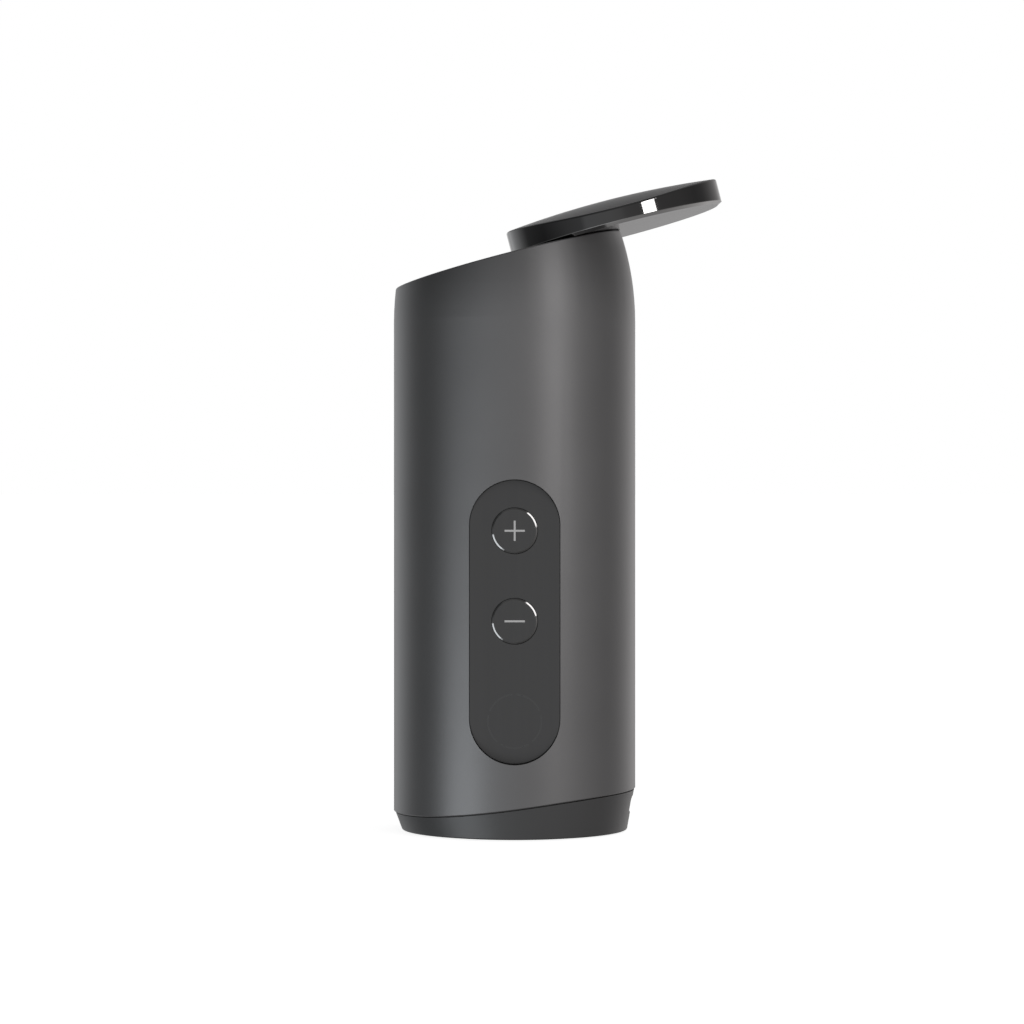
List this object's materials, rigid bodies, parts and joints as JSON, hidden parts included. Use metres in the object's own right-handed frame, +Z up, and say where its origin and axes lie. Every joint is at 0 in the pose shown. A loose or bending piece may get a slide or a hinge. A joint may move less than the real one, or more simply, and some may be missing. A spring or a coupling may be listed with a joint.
{
  "type": "handheld electric air mattress pump",
  "caption": "Slim cylindrical rechargeable air pump with a slanted top, a swivelling round lid over its outlet, and plus and minus keys on a flat panel.",
  "frame": {"origin": "centre of the underside, on the plane the rubber foot stands on", "axes": "+Z up along the body; -Y is the front with the keys; +X is towards the high side of the slanted rim and the charging port"},
  "size_m": [0.0869, 0.064, 0.1722],
  "materials": {
    "shell_metal": "satin anodised gunmetal",
    "lid_metal": "satin anodised gunmetal",
    "underplate_metal": "satin",
    "band_gloss": "high gloss",
    "base_plastic": "satin",
    "panel_plastic": "satin",
    "key_plastic": "satin",
    "mark_plastic": "satin",
    "guide_plastic": "smoked translucent",
    "deck_plastic": "fine texture",
    "collar_metal": "satin",
    "seal_rubber": "matt",
    "foam": "open cell foam",
    "steel": "zinc plated",
    "bronze": "sintered",
    "frame_plastic": "moulded",
    "cell_wrap": "shrink sleeve",
    "nickel": "bright",
    "board_green": "solder mask",
    "chip_black": "matt",
    "copper": "enamelled wire and laminations",
    "magnet": "matt",
    "fan_plastic": "moulded",
    "led": "clear"
  },
  "bodies": {
    "housing": {"body_shell": "shell_metal", "base_cap": "base_plastic", "foot_ring": "seal_rubber", "intake_filter": "foam", "base_screws": "steel", "charge_port": "steel", "charge_board": "board_green", "battery_cells": "cell_wrap", "cell_links": "nickel", "inner_frame": "frame_plastic", "control_panel": "panel_plastic", "panel_gasket": "seal_rubber", "light_guides": "guide_plastic", "main_board": "board_green", "board_screws": "steel", "key_switches": "chip_black", "status_leds": "led", "touch_pad": "copper", "board_chips": "chip_black", "motor_can": "steel", "motor_end_cap": "frame_plastic", "motor_bearings": "bronze", "motor_magnets": "magnet", "motor_mount": "frame_plastic", "motor_screws": "steel", "fan_housing": "fan_plastic", "diffuser": "fan_plastic", "plenum_seal": "seal_rubber", "top_deck": "deck_plastic", "deck_posts": "steel", "deck_screws": "steel", "outlet_collar": "collar_metal", "outlet_seal": "seal_rubber", "outlet_guard": "deck_plastic", "pivot_bush": "bronze", "pivot_washer": "deck_plastic"},
    "lid": {"lid_underplate": "underplate_metal", "lid_band": "band_gloss", "lid_dome": "lid_metal", "pivot_pin": "steel", "pivot_clip": "steel", "pivot_spring": "steel"},
    "rotor": {"motor_shaft": "steel", "armature": "copper", "commutator": "copper", "impeller": "fan_plastic", "impeller_nut": "steel"},
    "plus_button": {"plus_key": "key_plastic", "plus_mark": "mark_plastic"},
    "minus_button": {"minus_key": "key_plastic", "minus_mark": "mark_plastic"}
  },
  "joints": [
    {"name": "lid_swivel", "type": "hinge", "parent": "housing", "child": "lid", "pos_m": [0.01275, 0, 0.15475], "axis": [-0.2504, 0, 0.9681], "range_deg": [0, 180]},
    {"name": "plus_press", "type": "slide", "parent": "housing", "child": "plus_button", "axis": [0, 1, 0], "range_m": [0, 0.0006], "stiffness_N_per_m": 1500},
    {"name": "minus_press", "type": "slide", "parent": "housing", "child": "minus_button", "axis": [0, 1, 0], "range_m": [0, 0.0006], "stiffness_N_per_m": 1500},
    {"name": "fan_spin", "type": "hinge", "parent": "housing", "child": "rotor", "pos_m": [0, 0, 0.1], "axis": [0, 0, 1], "continuous": true}
  ]
}
